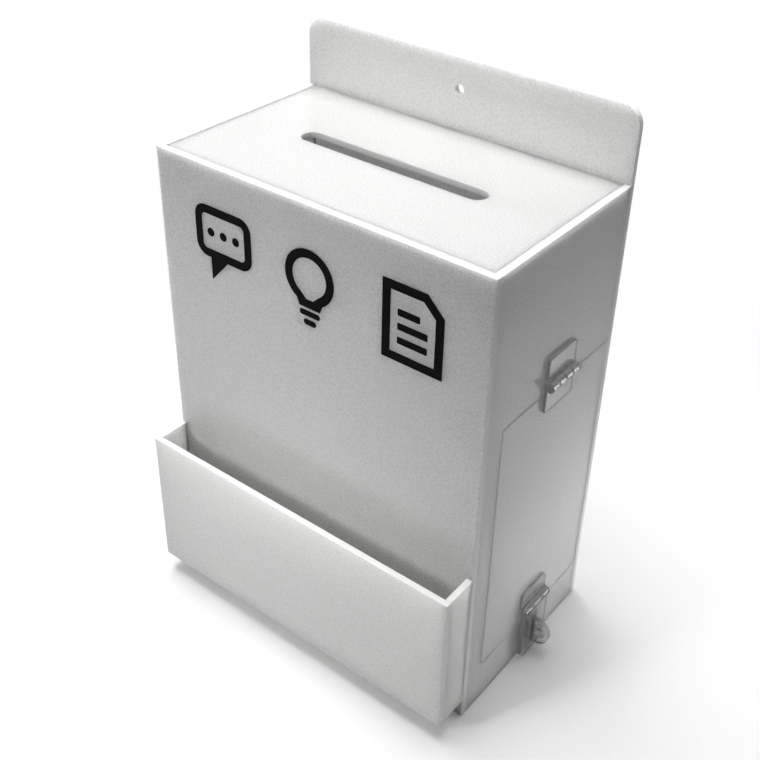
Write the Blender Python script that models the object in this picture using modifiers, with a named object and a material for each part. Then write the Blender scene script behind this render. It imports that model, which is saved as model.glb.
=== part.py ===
# Suggestion box in white acrylic sheet, with a leaflet pocket on its front and a lockable side door.
#
# Six panels make the chamber and four more make the pocket. The right side panel has a door that hangs
# from a clear acrylic hinge, and a clear acrylic hasp closes it over an eye for a padlock.
# Metres, +Z up, +X to the right as seen from the front, +Y to the back.
# The origin is the centre of the base.

import math

import bmesh
import bpy
from mathutils import Matrix, Vector

# Sheet and joints
sheet_thickness = 0.005
glue_gap = 0.0003
edge_radius = 0.00025
front_edge_radius = 0.0014
cut_overrun = 0.004

# Chamber
box_width = 0.300
box_depth = 0.175
box_height = 0.400

# Back panel above the chamber
back_rise = 0.058
back_corner_radius = 0.015
hang_hole_diameter = 0.008
hang_hole_rise = 0.0327

# Slot for the slips
slot_length = 0.166
slot_width = 0.0174

# Leaflet pocket
pocket_reach = 0.0315
pocket_bottom = 0.019
pocket_height = 0.129

# Side door, which reaches back to the back panel, and the strips that it closes against
door_margin = 0.0235
door_bottom = 0.0385
door_height = 0.2325
door_gap = 0.0004
door_corner_radius = 0.003
stop_width = 0.013
stop_thickness = 0.004
stop_cover = 0.006

# Leaves, knuckles and pins, alike on the hinge and the hasp
fitting_setback = 0.0061
leaf_thickness = 0.0026
pin_radius = 0.0016
pin_clearance = 0.00025
pin_end_inset = 0.0002
knuckle_wall = 0.00215
knuckle_clearance = 0.0004

# Hinge at the top of the door
hinge_width = 0.037
hinge_leaf_height = 0.0228
hinge_pin_rise = 0.0084
hinge_corner_radius = 0.001
hinge_knuckle_shares = (0.25, 0.25, 0.25, 0.25)

# Hasp at the foot of the door
hasp_width = 0.035
hasp_leaf_height = 0.0196
hasp_pin_rise = 0.0158
hasp_corner_radius = 0.005
hasp_knuckle_shares = (0.34, 0.36, 0.30)
flap_thickness = 0.0036
flap_lip = 0.0087
flap_corner_radius = 0.007
flap_clearance = 0.0003

# Eye that the padlock goes through
eye_drop = 0.0306
eye_radius = 0.012
eye_stand_out = 0.0150
eye_thickness = 0.005
eye_hole_diameter = 0.008
eye_hole_wall = 0.0036
eye_base_margin = 0.0012
eye_base_width = 0.014
eye_slot_clearance = 0.001

# Finishes
acrylic_ior = 1.49
white_colour = (0.80, 0.81, 0.80)
white_roughness = 0.12
white_transmission = 0
clear_colour = (0.78, 0.80, 0.80)
clear_roughness = 0.05
clear_transmission = 0.9

# Facets of the curves
full_circle_segments = 48
pin_segments = 24
corner_segments = 8
edge_segments = 2
sharp_angle_degrees = 30

# Places that follow from the sizes
front_y = -box_depth / 2
back_y = box_depth / 2
right_x = box_width / 2
inner_x = right_x - sheet_thickness - glue_gap
inner_front_y = front_y + sheet_thickness + glue_gap
inner_back_y = back_y - sheet_thickness - glue_gap
door_front_y = front_y + door_margin
door_back_y = back_y - sheet_thickness - door_gap
door_top = door_bottom + door_height
knuckle_radius = pin_radius + pin_clearance + knuckle_wall
pin_stand_off = knuckle_radius + knuckle_clearance
leaf_back = glue_gap - pin_stand_off
leaf_face = leaf_back + leaf_thickness
hinge_pin = Vector((right_x + pin_stand_off, fitting_setback, door_top + hinge_pin_rise))
hasp_pin = Vector((right_x + pin_stand_off, fitting_setback, door_bottom + hasp_pin_rise))


def clear_scene():
    """Empty the file of its objects and of what they used."""
    for old in list(bpy.data.objects):
        bpy.data.objects.remove(old, do_unlink=True)
    for kind in (bpy.data.meshes, bpy.data.materials, bpy.data.collections):
        for item in list(kind):
            kind.remove(item)


def new_collection(name):
    collection = bpy.data.collections.new(name)
    bpy.context.scene.collection.children.link(collection)
    return collection


def acrylic(name, colour, roughness, transmission):
    """Cast acrylic, either white and opaque or clear with a faint grey."""
    material = bpy.data.materials.new(name)
    material.use_nodes = True
    shader = material.node_tree.nodes["Principled BSDF"]
    shader.inputs["Base Color"].default_value = (*colour, 1)
    shader.inputs["Metallic"].default_value = 0
    shader.inputs["Roughness"].default_value = roughness
    shader.inputs["IOR"].default_value = acrylic_ior
    shader.inputs["Transmission Weight"].default_value = transmission
    material.diffuse_color = (*colour, 1)
    return material


# Shapes, each modelled about its own origin

def block(low, high):
    """A block between two corners, with the place of its middle."""
    low = Vector(low)
    high = Vector(high)
    builder = bmesh.new()
    bmesh.ops.create_cube(builder, size=1)
    bmesh.ops.scale(builder, vec=high - low, verts=builder.verts)
    return builder, (low + high) / 2


def cylinder_along_y(radius, length, segments):
    builder = bmesh.new()
    bmesh.ops.create_cone(
        builder, cap_ends=True, segments=segments, radius1=radius, radius2=radius, depth=length)
    quarter_turn = Matrix.Rotation(math.pi / 2, 3, "X")
    bmesh.ops.rotate(builder, cent=Vector(), matrix=quarter_turn, verts=builder.verts)
    return builder


def arc(centre, radius, start_degrees, end_degrees, segments):
    """Points along an arc, both ends included."""
    points = []
    for step in range(segments + 1):
        angle = math.radians(start_degrees + (end_degrees - start_degrees) * step / segments)
        points.append((centre[0] + radius * math.cos(angle), centre[1] + radius * math.sin(angle)))
    return points


def extruded(outline, normal, length):
    """An outline drawn out along its normal, half of the length to each side.

    An outline with the normal Y is in X and Z, and one with the normal Z is in X and Y.
    """
    builder = bmesh.new()
    start = normal * (-length / 2)
    up = Vector((0, 0, 1)) if normal.y else Vector((0, 1, 0))
    corners = [builder.verts.new(start + Vector((across, 0, 0)) + up * along) for across, along in outline]
    face = builder.faces.new(corners)
    drawn = bmesh.ops.extrude_face_region(builder, geom=[face])
    far_corners = [item for item in drawn["geom"] if isinstance(item, bmesh.types.BMVert)]
    bmesh.ops.translate(builder, vec=normal * length, verts=far_corners)
    bmesh.ops.recalc_face_normals(builder, faces=builder.faces)
    return builder


def round_edges(builder, is_chosen, radius):
    """Round the edges whose two ends pass the test is_chosen(end, other_end)."""
    edges = [edge for edge in builder.edges if is_chosen(edge.verts[0].co, edge.verts[1].co)]
    bmesh.ops.bevel(
        builder, geom=edges, offset=radius, segments=corner_segments, profile=0.5, affect="EDGES")


# Objects

def add_object(name, builder, place, collection, material=None):
    """Link an object that holds the modelled shape, with round faces shaded smooth."""
    mesh = bpy.data.meshes.new(name)
    builder.to_mesh(mesh)
    builder.free()
    mesh.shade_smooth()
    mesh.set_sharp_from_angle(angle=math.radians(sharp_angle_degrees))
    if material:
        mesh.materials.append(material)
    piece = bpy.data.objects.new(name, mesh)
    piece.location = place
    collection.objects.link(piece)
    return piece


def combine(piece, name, builder, place, operation):
    """Cut a shape from a piece or join one to it, and keep the shape as a guide that rides on it."""
    guide = add_object(name, builder, Vector(place) - piece.location, guides)
    guide.parent = piece
    guide.hide_render = True
    guide.display_type = "WIRE"
    boolean = piece.modifiers.new(name, "BOOLEAN")
    boolean.operation = operation
    boolean.solver = "EXACT"
    boolean.object = guide


def polish_edges(piece):
    """The small round that scraping and polishing leave on the edges of a cut sheet."""
    bevel = piece.modifiers.new("polished_edges", "BEVEL")
    bevel.width = edge_radius
    bevel.segments = edge_segments
    bevel.limit_method = "ANGLE"
    bevel.angle_limit = math.radians(sharp_angle_degrees)


def add_panel(name, low, high, material, rounded=None, radius=0):
    """A panel of white sheet between two corners, some of its edges rounded, with no polish yet."""
    builder, middle = block(low, high)
    if rounded:
        round_edges(builder, rounded, radius)
    return add_object(name, builder, middle, parts, material)


# Edges of a block by where they lie

def upright_front_edge(end, other_end):
    return end.x == other_end.x and end.y == other_end.y and end.y < 0


def top_corner_edge(end, other_end):
    return end.x == other_end.x and end.z == other_end.z and end.z > 0


def corner_edge_along_x(end, other_end):
    return end.y == other_end.y and end.z == other_end.z


def front_corner_edge_along_x(end, other_end):
    return corner_edge_along_x(end, other_end) and end.y < 0


def far_corner_edge_along_x(end, other_end):
    """On a leaf or a flap, whose own origin is on the pin."""
    return corner_edge_along_x(end, other_end) and abs(end.z) > knuckle_radius


# Chamber

def make_back_panel(material):
    """The back sheet stands above the chamber, with round corners and a hole to hang it by."""
    low = (-right_x, back_y - sheet_thickness, 0)
    high = (right_x, back_y, box_height + back_rise)
    piece = add_panel("back_panel", low, high, material, top_corner_edge, back_corner_radius)
    hole = cylinder_along_y(hang_hole_diameter / 2, sheet_thickness + cut_overrun, pin_segments)
    hole_place = (0, back_y - sheet_thickness / 2, box_height + hang_hole_rise)
    combine(piece, "hang_hole", hole, hole_place, "DIFFERENCE")
    polish_edges(piece)


def make_front_panel(material):
    """The front sheet covers the edges of the side panels."""
    low = (-right_x, front_y, 0)
    high = (right_x, front_y + sheet_thickness, box_height)
    piece = add_panel("front_panel", low, high, material, upright_front_edge, front_edge_radius)
    polish_edges(piece)


def make_top_panel(material):
    """The top sheet lies between the walls and has the slot, which has round ends."""
    low = (-inner_x, inner_front_y, box_height - sheet_thickness)
    high = (inner_x, inner_back_y, box_height)
    piece = add_panel("top_panel", low, high, material)
    half_run = (slot_length - slot_width) / 2
    half_circle_segments = full_circle_segments // 2
    right_end = arc((half_run, 0), slot_width / 2, -90, 90, half_circle_segments)
    left_end = arc((-half_run, 0), slot_width / 2, 90, 270, half_circle_segments)
    slot = extruded(right_end + left_end, Vector((0, 0, 1)), sheet_thickness + cut_overrun)
    slot_place = (0, 0, box_height - sheet_thickness / 2)
    combine(piece, "slip_slot", slot, slot_place, "DIFFERENCE")
    polish_edges(piece)


def make_bottom_panel(material):
    """The bottom sheet lies between the walls, flush with their lower edges."""
    low = (-inner_x, inner_front_y, 0)
    high = (inner_x, inner_back_y, sheet_thickness)
    polish_edges(add_panel("bottom_panel", low, high, material))


def make_left_side_panel(material):
    low = (-right_x, inner_front_y, 0)
    high = (-right_x + sheet_thickness, inner_back_y, box_height)
    polish_edges(add_panel("left_side_panel", low, high, material))


def make_right_side_panel(material):
    """The right side sheet is cut away up to the back panel, and the door fills that but for its gap."""
    low = (right_x - sheet_thickness, inner_front_y, 0)
    high = (right_x, inner_back_y, box_height)
    piece = add_panel("right_side_panel", low, high, material)
    opening_low = (right_x - sheet_thickness - cut_overrun, door_front_y - door_gap, door_bottom - door_gap)
    opening_high = (right_x + cut_overrun, inner_back_y + cut_overrun, door_top + door_gap)
    opening, opening_middle = block(opening_low, opening_high)
    round_edges(opening, front_corner_edge_along_x, door_corner_radius + door_gap)
    combine(piece, "door_opening", opening, opening_middle, "DIFFERENCE")
    polish_edges(piece)


# Leaflet pocket

def make_pocket(material):
    """A front sheet, two cheeks and a floor, glued to the front of the chamber."""
    pocket_top = pocket_bottom + pocket_height
    pocket_front_y = front_y - pocket_reach
    cheek_front_y = pocket_front_y + sheet_thickness + glue_gap
    cheek_back_y = front_y - glue_gap
    front_low = (-right_x, pocket_front_y, pocket_bottom)
    front_high = (right_x, pocket_front_y + sheet_thickness, pocket_top)
    front = add_panel(
        "pocket_front_panel", front_low, front_high, material, upright_front_edge, front_edge_radius)
    left_low = (-right_x, cheek_front_y, pocket_bottom)
    left_high = (-right_x + sheet_thickness, cheek_back_y, pocket_top)
    left = add_panel("pocket_left_cheek", left_low, left_high, material)
    right_low = (right_x - sheet_thickness, cheek_front_y, pocket_bottom)
    right_high = (right_x, cheek_back_y, pocket_top)
    right = add_panel("pocket_right_cheek", right_low, right_high, material)
    floor_low = (-inner_x, cheek_front_y, pocket_bottom)
    floor_high = (inner_x, cheek_back_y, pocket_bottom + sheet_thickness)
    floor = add_panel("pocket_floor", floor_low, floor_high, material)
    for piece in (front, left, right, floor):
        polish_edges(piece)


# Side door

def make_side_door(material):
    """The door is the sheet that was cut from the opening."""
    low = (right_x - sheet_thickness, door_front_y, door_bottom)
    high = (right_x, door_back_y, door_top)
    piece = add_panel("side_door", low, high, material, front_corner_edge_along_x, door_corner_radius)
    polish_edges(piece)
    return piece


def make_door_stops(material):
    """A strip inside the side panel and one on the back panel keep the door out of the chamber."""
    front_stop_back_y = door_front_y + stop_cover
    rear_stop_front_y = door_back_y - stop_cover
    for name, low_y, high_y in (
            ("door_stop_front", front_stop_back_y - stop_width, front_stop_back_y),
            ("door_stop_rear", rear_stop_front_y, inner_back_y)):
        low = (inner_x - stop_thickness, low_y, door_bottom)
        high = (inner_x, high_y, door_top)
        polish_edges(add_panel(name, low, high, material))


# Hinge and hasp

def leaf_outline(height):
    """Section of a leaf and its knuckle about the pin: the leaf's back is glued to the sheet."""
    meeting = math.degrees(math.acos(max(-1, min(1, leaf_face / knuckle_radius))))
    knuckle = arc((0, 0), knuckle_radius, meeting, -180, full_circle_segments)
    return [(leaf_back, 0), (leaf_back, height), (leaf_face, height)] + knuckle


def flap_outline(length):
    """Section of the flap and its knuckle about the pin: the flap hangs below the pin's middle."""
    half = flap_thickness / 2
    meeting = math.degrees(math.acos(min(1, half / knuckle_radius)))
    knuckle = arc((0, 0), knuckle_radius, 180 + meeting, -meeting, full_circle_segments)
    return [(half, -length), (-half, -length)] + knuckle


def cut_knuckles(piece, pin, width, shares, own):
    """Leave the piece its own knuckles, make room for the others between them, and bore them."""
    reach = knuckle_radius + knuckle_clearance
    edge = -width / 2
    last = len(shares) - 1
    for place, share in enumerate(shares):
        start = edge
        edge = start + share * width / sum(shares)
        if place in own:
            continue
        low_y = start - (cut_overrun if place == 0 else knuckle_clearance / 2)
        high_y = edge + (cut_overrun if place == last else knuckle_clearance / 2)
        low = pin + Vector((leaf_back - cut_overrun, low_y, -reach))
        high = pin + Vector((knuckle_radius + cut_overrun, high_y, reach))
        window, middle = block(low, high)
        combine(piece, piece.name + "_window_" + str(place), window, middle, "DIFFERENCE")
    bore = cylinder_along_y(pin_radius + pin_clearance, width + cut_overrun, pin_segments)
    combine(piece, piece.name + "_bore", bore, pin, "DIFFERENCE")


def make_pin(name, material, place, width):
    rod = cylinder_along_y(pin_radius, width - pin_end_inset, pin_segments)
    return add_object(name, rod, place, parts, material)


def make_hinge_leaf(name, material, upwards, own):
    """A leaf of the hinge, the upper one glued to the side panel and the lower one to the door."""
    builder = extruded(leaf_outline(hinge_leaf_height), Vector((0, 1, 0)), hinge_width)
    round_edges(builder, far_corner_edge_along_x, hinge_corner_radius)
    if not upwards:
        bmesh.ops.scale(builder, vec=Vector((1, 1, -1)), verts=builder.verts)
        bmesh.ops.reverse_faces(builder, faces=builder.faces)
    piece = add_object(name, builder, hinge_pin, parts, material)
    cut_knuckles(piece, hinge_pin, hinge_width, hinge_knuckle_shares, own)
    return piece


def make_hasp_leaf(material):
    """The leaf is glued to the door, with one knuckle between the flap's two."""
    builder = extruded(leaf_outline(hasp_leaf_height), Vector((0, 1, 0)), hasp_width)
    round_edges(builder, far_corner_edge_along_x, hasp_corner_radius)
    piece = add_object("hasp_leaf", builder, hasp_pin, parts, material)
    cut_knuckles(piece, hasp_pin, hasp_width, hasp_knuckle_shares, (1,))
    return piece


def make_hasp_flap(material):
    """The flap hangs from the pin, and its upright slot lets the eye through."""
    length = eye_drop + eye_radius + eye_slot_clearance + flap_lip
    builder = extruded(flap_outline(length), Vector((0, 1, 0)), hasp_width)
    round_edges(builder, far_corner_edge_along_x, flap_corner_radius)
    piece = add_object("hasp_flap", builder, hasp_pin, parts, material)
    cut_knuckles(piece, hasp_pin, hasp_width, hasp_knuckle_shares, (0, 2))
    slot_half_width = eye_thickness / 2 + eye_slot_clearance
    slot_half_height = eye_radius + eye_slot_clearance
    half = Vector((flap_thickness / 2 + cut_overrun, slot_half_width, slot_half_height))
    eye_place = hasp_pin - Vector((0, 0, eye_drop))
    slot, slot_middle = block(eye_place - half, eye_place + half)
    combine(piece, "eye_slot", slot, slot_middle, "DIFFERENCE")
    return piece


def make_padlock_eye(material):
    """A plate on edge with a round end and a hole, on a thin base glued below the opening."""
    flap_back_x = hasp_pin.x - flap_thickness / 2
    eye_centre_x = hasp_pin.x + flap_thickness / 2 + eye_stand_out - eye_radius
    eye_z = hasp_pin.z - eye_drop
    base_half_width = eye_base_width / 2
    base_half_height = eye_radius + eye_base_margin
    base_low = (right_x + glue_gap, fitting_setback - base_half_width, eye_z - base_half_height)
    base_high = (flap_back_x - flap_clearance, fitting_setback + base_half_width, eye_z + base_half_height)
    builder, middle = block(base_low, base_high)
    piece = add_object("padlock_eye", builder, middle, parts, material)
    root_x = right_x + glue_gap - eye_centre_x
    outline = [(root_x, eye_radius), (root_x, -eye_radius)]
    outline += arc((0, 0), eye_radius, -90, 90, full_circle_segments // 2)
    plate = extruded(outline, Vector((0, 1, 0)), eye_thickness)
    combine(piece, "eye_plate", plate, (eye_centre_x, fitting_setback, eye_z), "UNION")
    hole = cylinder_along_y(eye_hole_diameter / 2, eye_thickness + cut_overrun, pin_segments)
    hole_x = eye_centre_x + eye_radius - eye_hole_wall - eye_hole_diameter / 2
    combine(piece, "eye_hole", hole, (hole_x, fitting_setback, eye_z), "DIFFERENCE")


# Pivots

def add_pivot(name, place):
    """An empty on a joint's axis, which the pieces that turn about it are parented to."""
    pivot = bpy.data.objects.new(name, None)
    pivot.location = place
    pivot.empty_display_type = "SINGLE_ARROW"
    pivot.empty_display_size = hinge_width
    parts.objects.link(pivot)
    return pivot


def hang(piece, pivot):
    """Parent a piece to a pivot and leave it where it is."""
    bpy.context.view_layer.update()
    piece.parent = pivot
    piece.matrix_parent_inverse = pivot.matrix_world.inverted()


clear_scene()
parts = new_collection("suggestion_box")
guides = new_collection("guides")
white_acrylic = acrylic("white_acrylic", white_colour, white_roughness, white_transmission)
clear_acrylic = acrylic("clear_acrylic", clear_colour, clear_roughness, clear_transmission)

make_back_panel(white_acrylic)
make_front_panel(white_acrylic)
make_left_side_panel(white_acrylic)
make_right_side_panel(white_acrylic)
make_top_panel(white_acrylic)
make_bottom_panel(white_acrylic)
make_pocket(white_acrylic)
make_door_stops(white_acrylic)
side_door = make_side_door(white_acrylic)
make_hinge_leaf("hinge_upper_leaf", clear_acrylic, True, (1, 3))
hinge_lower_leaf = make_hinge_leaf("hinge_lower_leaf", clear_acrylic, False, (0, 2))
make_pin("hinge_pin", clear_acrylic, hinge_pin, hinge_width)
hasp_leaf = make_hasp_leaf(clear_acrylic)
hasp_rod = make_pin("hasp_pin", clear_acrylic, hasp_pin, hasp_width)
hasp_flap = make_hasp_flap(clear_acrylic)
make_padlock_eye(clear_acrylic)

door_pivot = add_pivot("door_pivot", hinge_pin)
flap_pivot = add_pivot("flap_pivot", hasp_pin)
hang(flap_pivot, door_pivot)
for hung in (side_door, hinge_lower_leaf, hasp_leaf, hasp_rod):
    hang(hung, door_pivot)
hang(hasp_flap, flap_pivot)
bpy.context.view_layer.update()
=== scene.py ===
import math

import bpy
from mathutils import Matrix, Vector


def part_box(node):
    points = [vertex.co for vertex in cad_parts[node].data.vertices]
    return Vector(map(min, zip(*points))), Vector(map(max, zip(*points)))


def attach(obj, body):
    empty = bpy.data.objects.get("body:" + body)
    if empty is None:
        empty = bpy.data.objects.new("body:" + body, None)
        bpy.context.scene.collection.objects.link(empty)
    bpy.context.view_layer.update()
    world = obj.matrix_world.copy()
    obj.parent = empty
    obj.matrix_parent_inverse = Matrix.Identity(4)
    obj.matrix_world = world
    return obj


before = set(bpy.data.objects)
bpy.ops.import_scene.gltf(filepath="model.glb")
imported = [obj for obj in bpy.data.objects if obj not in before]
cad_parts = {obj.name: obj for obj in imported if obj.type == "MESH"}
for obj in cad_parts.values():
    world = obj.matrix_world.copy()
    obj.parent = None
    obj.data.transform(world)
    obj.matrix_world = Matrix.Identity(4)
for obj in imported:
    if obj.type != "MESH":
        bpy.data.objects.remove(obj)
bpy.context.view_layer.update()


# White sheet
# Every panel is cut from 5 mm opaque white cast acrylic. Its two faces are glossy, with a very fine grain in
# the white. Its cut edges are dull. Where they stand upright they are painted a little grey as painted shade,
# and where they lie level they are painted white as a painted highlight from the lamp above.

SHEET_WHITE = (0.895, 0.900, 0.868, 1.0)
SHEET_GRAIN_DARK = (0.740, 0.745, 0.710, 1.0)
SHEET_GRAIN_LIGHT = (0.985, 0.988, 0.960, 1.0)
# Painted highlight for the level rims, and painted shade for the upright cut edges.
SHEET_RIM_PAINTED_HIGHLIGHT = (0.90, 0.905, 0.89, 1.0)
SHEET_EDGE_PAINTED_SHADE = (0.78, 0.785, 0.765, 1.0)
SHEET_GRAIN_PER_METRE = 900.0
SHEET_GRAIN_MIDDLE = 0.50
SHEET_GRAIN_SPREAD = 0.17
SHEET_CLOUD_PER_METRE = 9.0
SHEET_FACE_ROUGHNESS = 0.055
SHEET_EDGE_ROUGHNESS = 0.42
SHEET_SATIN = 0.025
SHEET_DEPTH_OF_LIGHT = 0.036
SHEET_SPREAD_OF_LIGHT = (1.0, 1.0, 1.0)
SHEET_FACE_SHARE_OF_DEPTH = 1.0
SHEET_EDGE_SHARE_OF_DEPTH = 0.25
SHEET_HALF_TURNED = 0.5
ACRYLIC_IOR = 1.49


def new_finish(name):
    """A node material, with its tree, its shader and the coordinates that stay with the piece."""
    material = bpy.data.materials.new(name)
    material.use_nodes = True
    tree = material.node_tree
    place = tree.nodes.new("ShaderNodeTexCoord")
    return material, tree, tree.nodes["Principled BSDF"], place


def feed(tree, socket, value):
    """Links a socket to another node's output, or sets it to a number or a colour."""
    if isinstance(value, bpy.types.NodeSocket):
        tree.links.new(value, socket)
    else:
        socket.default_value = value


def noise(tree, place, per_metre):
    """Soft noise from 0 to 1 in the piece's own coordinates."""
    node = tree.nodes.new("ShaderNodeTexNoise")
    node.inputs["Scale"].default_value = per_metre
    tree.links.new(place.outputs["Object"], node.inputs["Vector"])
    return node.outputs["Fac"]


def reckon(tree, operation, *values):
    """One step of arithmetic on outputs or numbers."""
    node = tree.nodes.new("ShaderNodeMath")
    node.operation = operation
    for socket, value in zip(node.inputs, values):
        feed(tree, socket, value)
    return node.outputs[0]


def blend(tree, kind, factor, first, second):
    """Mixes two numbers, where kind is FLOAT, or two colours, where it is RGBA."""
    node = tree.nodes.new("ShaderNodeMix")
    node.data_type = kind
    for name, value in (("Factor", factor), ("A", first), ("B", second)):
        feed(tree, node.inputs[name], value)
    return node.outputs["Result"]


def stretch(tree, value, span, new_span=(0.0, 1.0)):
    """Carries a value from one span to another and holds it at the ends."""
    node = tree.nodes.new("ShaderNodeMapRange")
    node.inputs["From Min"].default_value, node.inputs["From Max"].default_value = span
    node.inputs["To Min"].default_value, node.inputs["To Max"].default_value = new_span
    tree.links.new(value, node.inputs["Value"])
    return node.outputs["Result"]


def facing(tree, place, axis):
    """How squarely the surface faces along one of the piece's own axes, from 0 to 1."""
    split = tree.nodes.new("ShaderNodeSeparateXYZ")
    tree.links.new(place.outputs["Normal"], split.inputs["Vector"])
    return reckon(tree, "ABSOLUTE", split.outputs[axis])


def white_sheet(name, thin_axis):
    """Opaque white acrylic for a panel whose thickness runs along thin_axis."""
    material, tree, surface, place = new_finish(name)
    surface.inputs["IOR"].default_value = ACRYLIC_IOR
    surface.inputs["Subsurface Scale"].default_value = SHEET_DEPTH_OF_LIGHT
    surface.inputs["Subsurface Radius"].default_value = SHEET_SPREAD_OF_LIGHT

    grain = tree.nodes.new("ShaderNodeValToRGB")
    tones = grain.color_ramp.elements
    tones[0].position = SHEET_GRAIN_MIDDLE - SHEET_GRAIN_SPREAD
    tones[0].color = SHEET_GRAIN_DARK
    tones[1].position = SHEET_GRAIN_MIDDLE + SHEET_GRAIN_SPREAD
    tones[1].color = SHEET_GRAIN_LIGHT
    tones.new(SHEET_GRAIN_MIDDLE).color = SHEET_WHITE
    tree.links.new(noise(tree, place, SHEET_GRAIN_PER_METRE), grain.inputs["Fac"])

    # Painted light: upright cut edges take a grey painted shade, and level rims that face up or down take a
    # white painted highlight.
    is_edge = reckon(tree, "LESS_THAN", facing(tree, place, thin_axis), SHEET_HALF_TURNED)
    is_level = reckon(tree, "GREATER_THAN", facing(tree, place, "Z"), SHEET_HALF_TURNED)
    is_lit_rim = reckon(tree, "MULTIPLY", is_edge, is_level)
    edges_painted_shade = blend(tree, "RGBA", is_edge, grain.outputs["Color"], SHEET_EDGE_PAINTED_SHADE)
    rims_painted_highlight = blend(tree, "RGBA", is_lit_rim, edges_painted_shade, SHEET_RIM_PAINTED_HIGHLIGHT)
    tree.links.new(rims_painted_highlight, surface.inputs["Base Color"])

    depth = blend(tree, "FLOAT", is_edge, SHEET_FACE_SHARE_OF_DEPTH, SHEET_EDGE_SHARE_OF_DEPTH)
    tree.links.new(depth, surface.inputs["Subsurface Weight"])
    satin = (SHEET_FACE_ROUGHNESS - SHEET_SATIN, SHEET_FACE_ROUGHNESS + SHEET_SATIN)
    gloss = stretch(tree, noise(tree, place, SHEET_CLOUD_PER_METRE), (0.0, 1.0), satin)
    roughness = blend(tree, "FLOAT", is_edge, gloss, SHEET_EDGE_ROUGHNESS)
    tree.links.new(roughness, surface.inputs["Roughness"])
    return material


sheet_across = white_sheet("white sheet, side panels", "X")
sheet_through = white_sheet("white sheet, front and back panels", "Y")
sheet_level = white_sheet("white sheet, level panels", "Z")


def give_finish(node, material):
    """Gives one of the part's own pieces its finish."""
    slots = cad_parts[node].data.materials
    slots.clear()
    slots.append(material)


GLUE_INSET = 0.00005
GLUE_LAP = 0.00022
GLUE_DARK = (0.70, 0.71, 0.68, 1.0)
GLUE_LIGHT = (0.78, 0.79, 0.76, 1.0)
GLUE_ROUGHNESS = 0.3
GLUE_RUNS_PER_METRE = 140.0

set_glue, glue_tree, glue_surface, glue_place = new_finish("set solvent glue")
glue_surface.inputs["Roughness"].default_value = GLUE_ROUGHNESS
glue_surface.inputs["IOR"].default_value = ACRYLIC_IOR
glue_tone = blend(glue_tree, "RGBA", noise(glue_tree, glue_place, GLUE_RUNS_PER_METRE), GLUE_DARK, GLUE_LIGHT)
glue_tree.links.new(glue_tone, glue_surface.inputs["Base Color"])


def solid_block(name, low, high, material):
    """One closed block between two corners."""
    corners = [(x, y, z) for x in (low[0], high[0]) for y in (low[1], high[1]) for z in (low[2], high[2])]
    faces = [(0, 1, 3, 2), (4, 6, 7, 5), (0, 4, 5, 1), (2, 3, 7, 6), (0, 2, 6, 4), (1, 5, 7, 3)]
    mesh = bpy.data.meshes.new(name)
    mesh.from_pydata(corners, [], faces)
    mesh.materials.append(material)
    block = bpy.data.objects.new(name, mesh)
    bpy.context.scene.collection.objects.link(block)
    return block


def glue_line(first, second):
    """The set glue that fills the fine joint between two panels and laps over their rounded edges."""
    first_low, first_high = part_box(first)
    second_low, second_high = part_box(second)
    low = [max(ends) for ends in zip(first_low, second_low)]
    high = [min(ends) for ends in zip(first_high, second_high)]
    for axis in range(3):
        across_the_joint = low[axis] > high[axis]
        if across_the_joint:
            low[axis], high[axis] = high[axis] - GLUE_LAP, low[axis] + GLUE_LAP
        else:
            low[axis] += GLUE_INSET
            high[axis] -= GLUE_INSET
    bead = solid_block(f"glue_{first}_{second}", low, high, set_glue)
    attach(bead, "box")


# Back panel
# One tall sheet forms the back of the chamber and stands up above it, with round top corners and a small
# round hole on its middle line, for hanging the box on a screw.

give_finish("back_panel", sheet_through)


# Front and side panels
# The front sheet covers the side panels' front edges, and all of them stand on the counter. The right side
# panel is cut out for the door. The joints are glued, and show as fine lines.

give_finish("front_panel", sheet_through)
for side in ("left_side_panel", "right_side_panel"):
    give_finish(side, sheet_across)
    glue_line("front_panel", side)
    glue_line("back_panel", side)


# Top panel
# The top sheet closes the chamber between the four upright panels, flush with their upper edges, and is glued
# to them all round. It has the long slot for slips in its middle, with round ends.

give_finish("top_panel", sheet_level)
for wall in ("front_panel", "back_panel", "left_side_panel", "right_side_panel"):
    glue_line("top_panel", wall)


# Bottom panel
# The bottom sheet closes the chamber between the feet of the four upright panels. It shows only through the
# open door.

give_finish("bottom_panel", sheet_level)


# Leaflet pocket
# A front sheet, two cheeks and a floor make a narrow open tray, glued to the lower front of the chamber, that
# holds blank slips.

give_finish("pocket_front_panel", sheet_through)
give_finish("pocket_floor", sheet_level)
for cheek in ("pocket_left_cheek", "pocket_right_cheek"):
    give_finish(cheek, sheet_across)
    glue_line("pocket_front_panel", cheek)
    glue_line("front_panel", cheek)


# Door stops
# Two upright strips are glued inside the chamber behind the door's front and rear edges, and keep it from
# swinging in.

for stop in ("door_stop_front", "door_stop_rear"):
    give_finish(stop, sheet_across)


# Side door
# The door is a plain piece of the same sheet with two round corners. It fills the opening in the right side
# panel and hangs from the hinge at its top edge.

give_finish("side_door", sheet_across)


# Cut-film signs
# Three flat black signs are cut from thin film and stuck to the front sheet in a row near its top: a speech
# bubble, a lamp for an idea, and a slip with lines. All their outlines are strokes of one width.

SIGN_STROKE = 0.007
SIGN_FILM = 0.00012
SIGN_LIFT = 0.00002
SIGN_HEIGHT = 0.062
SIGN_WIDTH = 0.056
SIGN_CENTRES = {"bubble": (-0.085, 0.337), "lamp": (-0.002, 0.335), "slip": (0.088, 0.339)}
CORNER_STEPS = 8
RING_STEPS = 48
FILM_BLACK = (0.0015, 0.0015, 0.0015, 1.0)
FILM_DUSTY_BLACK = (0.003, 0.003, 0.003, 1.0)
FILM_GRAIN_PER_METRE = 900.0
FILM_ROUGHNESS = 0.5
FILM_SPECULAR = 0.03

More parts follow.
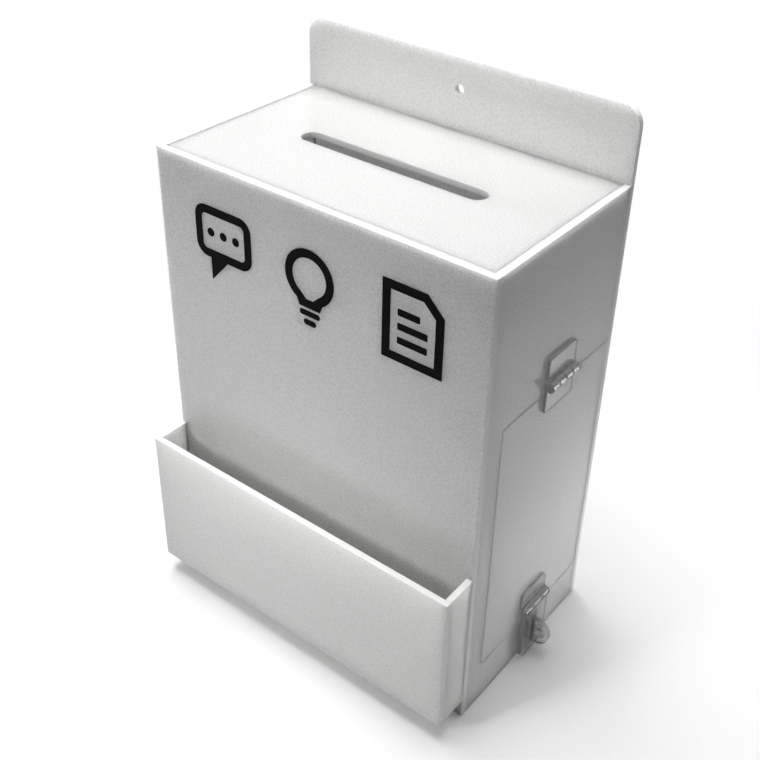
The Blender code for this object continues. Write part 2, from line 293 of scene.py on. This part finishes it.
film, film_tree, film_surface, film_place = new_finish("black sign film")
film_surface.inputs["Roughness"].default_value = FILM_ROUGHNESS
film_surface.inputs["Specular IOR Level"].default_value = FILM_SPECULAR
film_grain = noise(film_tree, film_place, FILM_GRAIN_PER_METRE)
film_tone = blend(film_tree, "RGBA", film_grain, FILM_BLACK, FILM_DUSTY_BLACK)
film_tree.links.new(film_tone, film_surface.inputs["Base Color"])

front_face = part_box("front_panel")[0][1]
half_width = SIGN_WIDTH / 2
half_height = SIGN_HEIGHT / 2


def rounded_loop(left, bottom, right, top, radius):
    """A rectangle with round corners, counter-clockwise from its upper right corner."""
    loop = []
    for across, up, quarter in ((right, top, 0), (left, top, 1), (left, bottom, 2), (right, bottom, 3)):
        centre_across = across - radius if across == right else across + radius
        centre_up = up - radius if up == top else up + radius
        for step in range(CORNER_STEPS + 1):
            turn = math.pi / 2 * (quarter + step / CORNER_STEPS)
            loop.append((centre_across + radius * math.cos(turn), centre_up + radius * math.sin(turn)))
    return loop


def ring_loop(radius, low_turn, high_turn, centre_up, tail):
    """An arc about the sign's middle line, closed by the points of tail."""
    loop = []
    for step in range(RING_STEPS + 1):
        turn = low_turn + (high_turn - low_turn) * step / RING_STEPS
        loop.append((radius * math.cos(turn), centre_up + radius * math.sin(turn)))
    return loop + tail


def cut_sign(name, loops):
    """Cuts one sign from the film. Loops inside another loop are its openings, and the film is closed."""
    across, up = SIGN_CENTRES[name]
    outline = bpy.data.curves.new(f"sign_{name}", "CURVE")
    outline.dimensions = "2D"
    outline.fill_mode = "BOTH"
    outline.extrude = SIGN_FILM / 2
    for loop in loops:
        spline = outline.splines.new("POLY")
        spline.points.add(len(loop) - 1)
        for point, (u, v) in zip(spline.points, loop):
            point.co = (u, v, 0.0, 1.0)
        spline.use_cyclic_u = True
    drawn = bpy.data.objects.new(f"drawn_{name}", outline)
    bpy.context.scene.collection.objects.link(drawn)
    bpy.context.view_layer.update()
    mesh = bpy.data.meshes.new_from_object(drawn.evaluated_get(bpy.context.evaluated_depsgraph_get()))
    bpy.data.objects.remove(drawn)
    for vertex in mesh.vertices:
        u, v, w = vertex.co
        vertex.co = (across + u, front_face - SIGN_LIFT - SIGN_FILM / 2 - w, up + v)
    mesh.materials.clear()
    mesh.materials.append(film)
    sign = bpy.data.objects.new(f"sign_{name}", mesh)
    bpy.context.scene.collection.objects.link(sign)
    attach(sign, "box")


# The speech bubble has a pointed tail under its left half and three round dots.

BUBBLE_BOTTOM = -0.012
BUBBLE_RADIUS = 0.011
BUBBLE_TAIL_LEFT = -0.014
BUBBLE_TAIL_RIGHT = 0.003
BUBBLE_DOT_PITCH = 0.0125
CORNERS_BEFORE_TAIL = 3

bubble_rim = rounded_loop(-half_width, BUBBLE_BOTTOM, half_width, half_height, BUBBLE_RADIUS)
tail_place = CORNERS_BEFORE_TAIL * (CORNER_STEPS + 1)
bubble_tail = [
    (BUBBLE_TAIL_LEFT, BUBBLE_BOTTOM),
    (BUBBLE_TAIL_LEFT, -half_height),
    (BUBBLE_TAIL_RIGHT, BUBBLE_BOTTOM),
]
bubble_outer = bubble_rim[:tail_place] + bubble_tail + bubble_rim[tail_place:]
bubble_inner = rounded_loop(
    -half_width + SIGN_STROKE,
    BUBBLE_BOTTOM + SIGN_STROKE,
    half_width - SIGN_STROKE,
    half_height - SIGN_STROKE,
    BUBBLE_RADIUS - SIGN_STROKE,
)
bubble_middle = (BUBBLE_BOTTOM + half_height) / 2
dot_radius = SIGN_STROKE / 2
bubble_dots = [
    rounded_loop(
        dot_place - dot_radius,
        bubble_middle - dot_radius,
        dot_place + dot_radius,
        bubble_middle + dot_radius,
        dot_radius,
    )
    for dot_place in (-BUBBLE_DOT_PITCH, 0.0, BUBBLE_DOT_PITCH)
]
cut_sign("bubble", [bubble_outer, bubble_inner] + bubble_dots)

# The lamp is a round bulb that narrows to a neck, with two short bars under it.

LAMP_RADIUS = 0.0225
LAMP_NECK_HALF = 0.0095
LAMP_NECK_HALF_INSIDE = 0.003
LAMP_FOOT = -0.0165
LAMP_TURN = math.radians(-58.0)
LAMP_BAR_HALVES = (0.0095, 0.0058)
LAMP_BAR_GAP = 0.0022
LAMP_BAR_PITCH = 0.0074
LAMP_BAR_HEIGHT = 0.0048
LAMP_BAR_RADIUS = 0.0023

lamp_centre = half_height - LAMP_RADIUS
lamp_outer = ring_loop(
    LAMP_RADIUS, LAMP_TURN, math.pi - LAMP_TURN, lamp_centre,
    [(-LAMP_NECK_HALF, LAMP_FOOT), (LAMP_NECK_HALF, LAMP_FOOT)],
)
inside_foot = LAMP_FOOT + SIGN_STROKE
lamp_inner = ring_loop(
    LAMP_RADIUS - SIGN_STROKE, LAMP_TURN, math.pi - LAMP_TURN, lamp_centre,
    [(-LAMP_NECK_HALF_INSIDE, inside_foot), (LAMP_NECK_HALF_INSIDE, inside_foot)],
)
lamp_bars = []
for bar, bar_half in enumerate(LAMP_BAR_HALVES):
    bar_top = LAMP_FOOT - LAMP_BAR_GAP - bar * LAMP_BAR_PITCH
    lamp_bars.append(rounded_loop(-bar_half, bar_top - LAMP_BAR_HEIGHT, bar_half, bar_top, LAMP_BAR_RADIUS))
cut_sign("lamp", [lamp_outer, lamp_inner] + lamp_bars)

# The slip is an upright sheet with a cut corner and three lines, of which the top one is short.

SLIP_HALF = 0.0255
SLIP_FOLD = 0.014
SLIP_LINE_HEIGHT = 0.0055
SLIP_LINE_LEFT = -0.0125
SLIP_LINE_RIGHTS = (0.006, 0.0125, 0.0125)
SLIP_LINE_TOP = 0.0085
SLIP_LINE_PITCH = 0.011
SLIP_LINE_RADIUS = 0.001

slip_outer = [
    (-SLIP_HALF, -half_height),
    (SLIP_HALF, -half_height),
    (SLIP_HALF, half_height - SLIP_FOLD),
    (SLIP_HALF - SLIP_FOLD, half_height),
    (-SLIP_HALF, half_height),
]
inner_half = SLIP_HALF - SIGN_STROKE
inner_height = half_height - SIGN_STROKE
inner_fold = SLIP_FOLD - SIGN_STROKE * (2.0 - math.sqrt(2.0))
slip_inner = [
    (-inner_half, -inner_height),
    (inner_half, -inner_height),
    (inner_half, inner_height - inner_fold),
    (inner_half - inner_fold, inner_height),
    (-inner_half, inner_height),
]
slip_lines = []
for line, line_right in enumerate(SLIP_LINE_RIGHTS):
    line_middle = SLIP_LINE_TOP - line * SLIP_LINE_PITCH
    slip_lines.append(rounded_loop(
        SLIP_LINE_LEFT,
        line_middle - SLIP_LINE_HEIGHT / 2,
        line_right,
        line_middle + SLIP_LINE_HEIGHT / 2,
        SLIP_LINE_RADIUS,
    ))
cut_sign("slip", [slip_outer, slip_inner] + slip_lines)


# Clear hinge
# The hinge is moulded in clear acrylic: two leaves with two knuckles each, on a plain rod. Its upper leaf is
# glued to the side panel and its lower leaf to the door.

CLEAR_TINT = (0.93, 0.935, 0.93, 1.0)
CLEAR_FACE_ROUGHNESS = 0.10
CLEAR_EDGE_ROUGHNESS = 0.40
CLEAR_FACE_SHARE_OF_GLASS = 1.0
CLEAR_EDGE_SHARE_OF_GLASS = 0.55
CLEAR_EDGE_TO_FACE = (0.1, 0.5)
CLEAR_EDGE_GREY = (0.66, 0.665, 0.66, 1.0)
CLEAR_SMOKE = (0.46, 0.47, 0.465, 1.0)
CLEAR_SHADE = (0.66, 0.67, 0.665, 1.0)
CLEAR_SPECULAR = 0.20
CLEAR_RIPPLE_PER_METRE = 160.0
CLEAR_RIPPLE_DEPTH = 0.00004
LEAF_SMOKE_DENSITY = 42.0


def clear_acrylic(name, smoke_density, thin_axis="X"):
    """Clear moulded acrylic that darkens with its depth, duller on its edges than on its flat faces."""
    material, tree, surface, place = new_finish(name)
    surface.inputs["IOR"].default_value = ACRYLIC_IOR
    surface.inputs["Specular IOR Level"].default_value = CLEAR_SPECULAR
    ripple = tree.nodes.new("ShaderNodeBump")
    ripple.inputs["Distance"].default_value = CLEAR_RIPPLE_DEPTH
    tree.links.new(noise(tree, place, CLEAR_RIPPLE_PER_METRE), ripple.inputs["Height"])
    tree.links.new(ripple.outputs["Normal"], surface.inputs["Normal"])

    flat = facing(tree, place, thin_axis)
    for socket, edge_value, face_value in (
        ("Roughness", CLEAR_EDGE_ROUGHNESS, CLEAR_FACE_ROUGHNESS),
        ("Transmission Weight", CLEAR_EDGE_SHARE_OF_GLASS, CLEAR_FACE_SHARE_OF_GLASS),
    ):
        share = stretch(tree, flat, CLEAR_EDGE_TO_FACE, (edge_value, face_value))
        tree.links.new(share, surface.inputs[socket])
    tree.links.new(blend(tree, "RGBA", flat, CLEAR_EDGE_GREY, CLEAR_TINT), surface.inputs["Base Color"])

    output = tree.nodes["Material Output"]
    smoke = tree.nodes.new("ShaderNodeVolumeAbsorption")
    smoke.inputs["Color"].default_value = CLEAR_SMOKE
    smoke.inputs["Density"].default_value = smoke_density
    tree.links.new(smoke.outputs["Volume"], output.inputs["Volume"])
    lets_lamps_through = tree.nodes.new("ShaderNodeBsdfTransparent")
    lets_lamps_through.inputs["Color"].default_value = CLEAR_SHADE
    ray = tree.nodes.new("ShaderNodeLightPath")
    either = tree.nodes.new("ShaderNodeMixShader")
    tree.links.new(ray.outputs["Is Shadow Ray"], either.inputs["Fac"])
    tree.links.new(surface.outputs["BSDF"], either.inputs[1])
    tree.links.new(lets_lamps_through.outputs["BSDF"], either.inputs[2])
    tree.links.new(either.outputs["Shader"], output.inputs["Surface"])
    return material


clear_leaves = clear_acrylic("clear moulded acrylic, thin leaves", LEAF_SMOKE_DENSITY)
for fitting in ("hinge_upper_leaf", "hinge_lower_leaf", "hinge_pin"):
    give_finish(fitting, clear_leaves)


# Clear hasp
# The hasp is moulded like the hinge. Its leaf is glued to the foot of the door, and its slotted flap hangs
# from the leaf's rod over the padlock eye.

FLAP_SMOKE_DENSITY = 62.0

for fitting in ("hasp_leaf", "hasp_pin"):
    give_finish(fitting, clear_leaves)
give_finish("hasp_flap", clear_acrylic("clear moulded acrylic, thick flap", FLAP_SMOKE_DENSITY))


# Padlock eye
# The eye is a round clear lug on a small foot, glued to the side panel under the door. A padlock's shackle
# goes through its hole.

EYE_SMOKE_DENSITY = 120.0

give_finish("padlock_eye", clear_acrylic("clear moulded acrylic, round eye", EYE_SMOKE_DENSITY, "Y"))


# Floor
# The box stands on a plain pale floor that reaches well beyond the picture. The floor keeps the box's soft
# shadow, and away from the box it fades into the white room, also where the gloss mirrors it.

FLOOR_REACH = 6.0
FLOOR_DROP = 0.0003
FLOOR_DEPTH = 0.02
FLOOR_FADE = (0.20, 0.70)
FLOOR_MIRRORED_FADE = (0.9, 1.6)
FLOOR_DARK = (0.55, 0.55, 0.55, 1.0)
FLOOR_LIGHT = (0.58, 0.58, 0.58, 1.0)
FLOOR_SEEN_WHITE = (0.97, 0.97, 0.97, 1.0)
FLOOR_ROUGHNESS = 0.8
FLOOR_CLOUD_PER_METRE = 0.8
BEFORE_FIRST_SCATTER = 0.5


def shown_by_gloss(tree, ray):
    """1 for what the gloss or the clear acrylic shows, and 0 for what only carries light to the box."""
    gloss_or_glass = reckon(tree, "MAXIMUM", ray.outputs["Is Glossy Ray"], ray.outputs["Is Transmission Ray"])
    not_scattered = reckon(tree, "LESS_THAN", ray.outputs["Diffuse Depth"], BEFORE_FIRST_SCATTER)
    return reckon(tree, "MULTIPLY", gloss_or_glass, not_scattered)


floor_paint, floor_tree, floor_surface, floor_place = new_finish("pale floor")
floor_surface.inputs["Roughness"].default_value = FLOOR_ROUGHNESS
floor_ray = floor_tree.nodes.new("ShaderNodeLightPath")
seen_by_camera = floor_ray.outputs["Is Camera Ray"]
seen_mirrored = shown_by_gloss(floor_tree, floor_ray)
floor_seen = reckon(floor_tree, "MAXIMUM", seen_by_camera, seen_mirrored)
floor_cloud = noise(floor_tree, floor_place, FLOOR_CLOUD_PER_METRE)
floor_tone = blend(floor_tree, "RGBA", floor_cloud, FLOOR_DARK, FLOOR_LIGHT)
floor_white = blend(floor_tree, "RGBA", floor_seen, floor_tone, FLOOR_SEEN_WHITE)
floor_tree.links.new(floor_white, floor_surface.inputs["Base Color"])

from_box = floor_tree.nodes.new("ShaderNodeVectorMath")
from_box.operation = "LENGTH"
floor_tree.links.new(floor_place.outputs["Object"], from_box.inputs[0])
fades = [
    reckon(floor_tree, "MULTIPLY", stretch(floor_tree, from_box.outputs["Value"], span), seen)
    for span, seen in ((FLOOR_FADE, seen_by_camera), (FLOOR_MIRRORED_FADE, seen_mirrored))
]
floor_far = reckon(floor_tree, "MAXIMUM", *fades)
white_room = floor_tree.nodes.new("ShaderNodeEmission")
floor_mix = floor_tree.nodes.new("ShaderNodeMixShader")
floor_tree.links.new(floor_far, floor_mix.inputs["Fac"])
floor_tree.links.new(floor_surface.outputs["BSDF"], floor_mix.inputs[1])
floor_tree.links.new(white_room.outputs["Emission"], floor_mix.inputs[2])
floor_tree.links.new(floor_mix.outputs["Shader"], floor_tree.nodes["Material Output"].inputs["Surface"])
floor = solid_block(
    "floor",
    (-FLOOR_REACH, -FLOOR_REACH, -FLOOR_DROP - FLOOR_DEPTH),
    (FLOOR_REACH, FLOOR_REACH, -FLOOR_DROP),
    floor_paint,
)


# Light
# A wide soft lamp hangs high over the box, a little to its left. A weak one in front lights the inside of the
# pocket, and two very weak low ones light the foot of the door's side. Only the wide one shows in the gloss.

OVERHEAD_LAMP = {
    "place": (-0.22, 0.05, 1.75), "aim": (0.0, 0.0, 0.20),
    "width": 1.2, "power": 37.0, "spread": 180.0,
}
FRONT_LAMP = {
    "place": (-0.36, -1.00, 0.72), "aim": (-0.02, -0.09, 0.15),
    "width": 0.3, "power": 0.42, "spread": 40.0,
}
LOW_SIDE_LAMP = {
    "place": (0.80, 0.20, 0.12), "aim": (0.15, 0.00, 0.17),
    "width": 0.3, "power": 0.045, "spread": 24.0,
}
LOW_REAR_LAMP = {
    "place": (0.62, 0.70, 0.12), "aim": (0.15, 0.09, 0.06),
    "width": 0.2, "power": 0.09, "spread": 18.0,
}


def soft_lamp(name, mirrored, place, aim, width, power, spread):
    """A square soft lamp that the camera doesn't see. Only a mirrored one shows in the gloss."""
    light = bpy.data.lights.new(name, "AREA")
    light.shape = "SQUARE"
    light.size = width
    light.energy = power
    light.spread = math.radians(spread)
    lamp = bpy.data.objects.new(name, light)
    lamp.location = place
    lamp.rotation_euler = (Vector(aim) - Vector(place)).to_track_quat("-Z", "Y").to_euler()
    lamp.visible_camera = False
    lamp.visible_glossy = mirrored
    lamp.visible_transmission = mirrored
    bpy.context.scene.collection.objects.link(lamp)


soft_lamp("overhead lamp", True, **OVERHEAD_LAMP)
soft_lamp("front lamp", False, **FRONT_LAMP)
soft_lamp("low side lamp", False, **LOW_SIDE_LAMP)
soft_lamp("low rear lamp", False, **LOW_REAR_LAMP)


# Room
# The room round the box is dim, and dimmer on the door's side. It shows as plain white to the camera and in
# the gloss.

ROOM_DIM = 0.03
ROOM_BRIGHT = 0.12
ROOM_LEFT_TO_RIGHT = (-1.0, 1.0)
ROOM_WHITE = (1.0, 1.0, 1.0, 1.0)
ROOM_SEEN_STRENGTH = 1.0

world = bpy.data.worlds.new("pale room")
world.use_nodes = True
bpy.context.scene.world = world
room_tree = world.node_tree
room = room_tree.nodes["Background"]
room.inputs["Color"].default_value = ROOM_WHITE
room_place = room_tree.nodes.new("ShaderNodeTexCoord")
room_sides = room_tree.nodes.new("ShaderNodeSeparateXYZ")
room_tree.links.new(room_place.outputs["Generated"], room_sides.inputs["Vector"])
room_level = stretch(room_tree, room_sides.outputs["X"], ROOM_LEFT_TO_RIGHT, (ROOM_BRIGHT, ROOM_DIM))
room_tree.links.new(room_level, room.inputs["Strength"])

seen_room = room_tree.nodes.new("ShaderNodeBackground")
seen_room.inputs["Color"].default_value = ROOM_WHITE
seen_room.inputs["Strength"].default_value = ROOM_SEEN_STRENGTH
room_ray = room_tree.nodes.new("ShaderNodeLightPath")
room_shown = shown_by_gloss(room_tree, room_ray)
room_seen = reckon(room_tree, "MAXIMUM", room_ray.outputs["Is Camera Ray"], room_shown)
room_mix = room_tree.nodes.new("ShaderNodeMixShader")
room_tree.links.new(room_seen, room_mix.inputs["Fac"])
room_tree.links.new(room.outputs["Background"], room_mix.inputs[1])
room_tree.links.new(seen_room.outputs["Background"], room_mix.inputs[2])
room_tree.links.new(room_mix.outputs["Shader"], room_tree.nodes["World Output"].inputs["Surface"])


# Camera
# The camera looks down at the front and the door's side from the right, as the photograph does. A small shift
# puts the box in the same part of the frame.

CAMERA_PLACE = (0.4530, -0.5908, 0.7410)
CAMERA_TURN = (57.363, -2.036, 36.811)
CAMERA_LENS = 53.46
CAMERA_SENSOR = 36.0
CAMERA_SHIFT = (-0.0526, -0.0737)
CAMERA_NEAREST = 0.01

camera_optics = bpy.data.cameras.new("camera")
camera_optics.sensor_width = CAMERA_SENSOR
camera_optics.lens = CAMERA_LENS
camera_optics.shift_x, camera_optics.shift_y = CAMERA_SHIFT
camera_optics.clip_start = CAMERA_NEAREST
camera = bpy.data.objects.new("camera", camera_optics)
camera.location = CAMERA_PLACE
camera.rotation_euler = [math.radians(angle) for angle in CAMERA_TURN]
bpy.context.scene.collection.objects.link(camera)
bpy.context.scene.camera = camera
bpy.context.scene.view_settings.view_transform = "Standard"
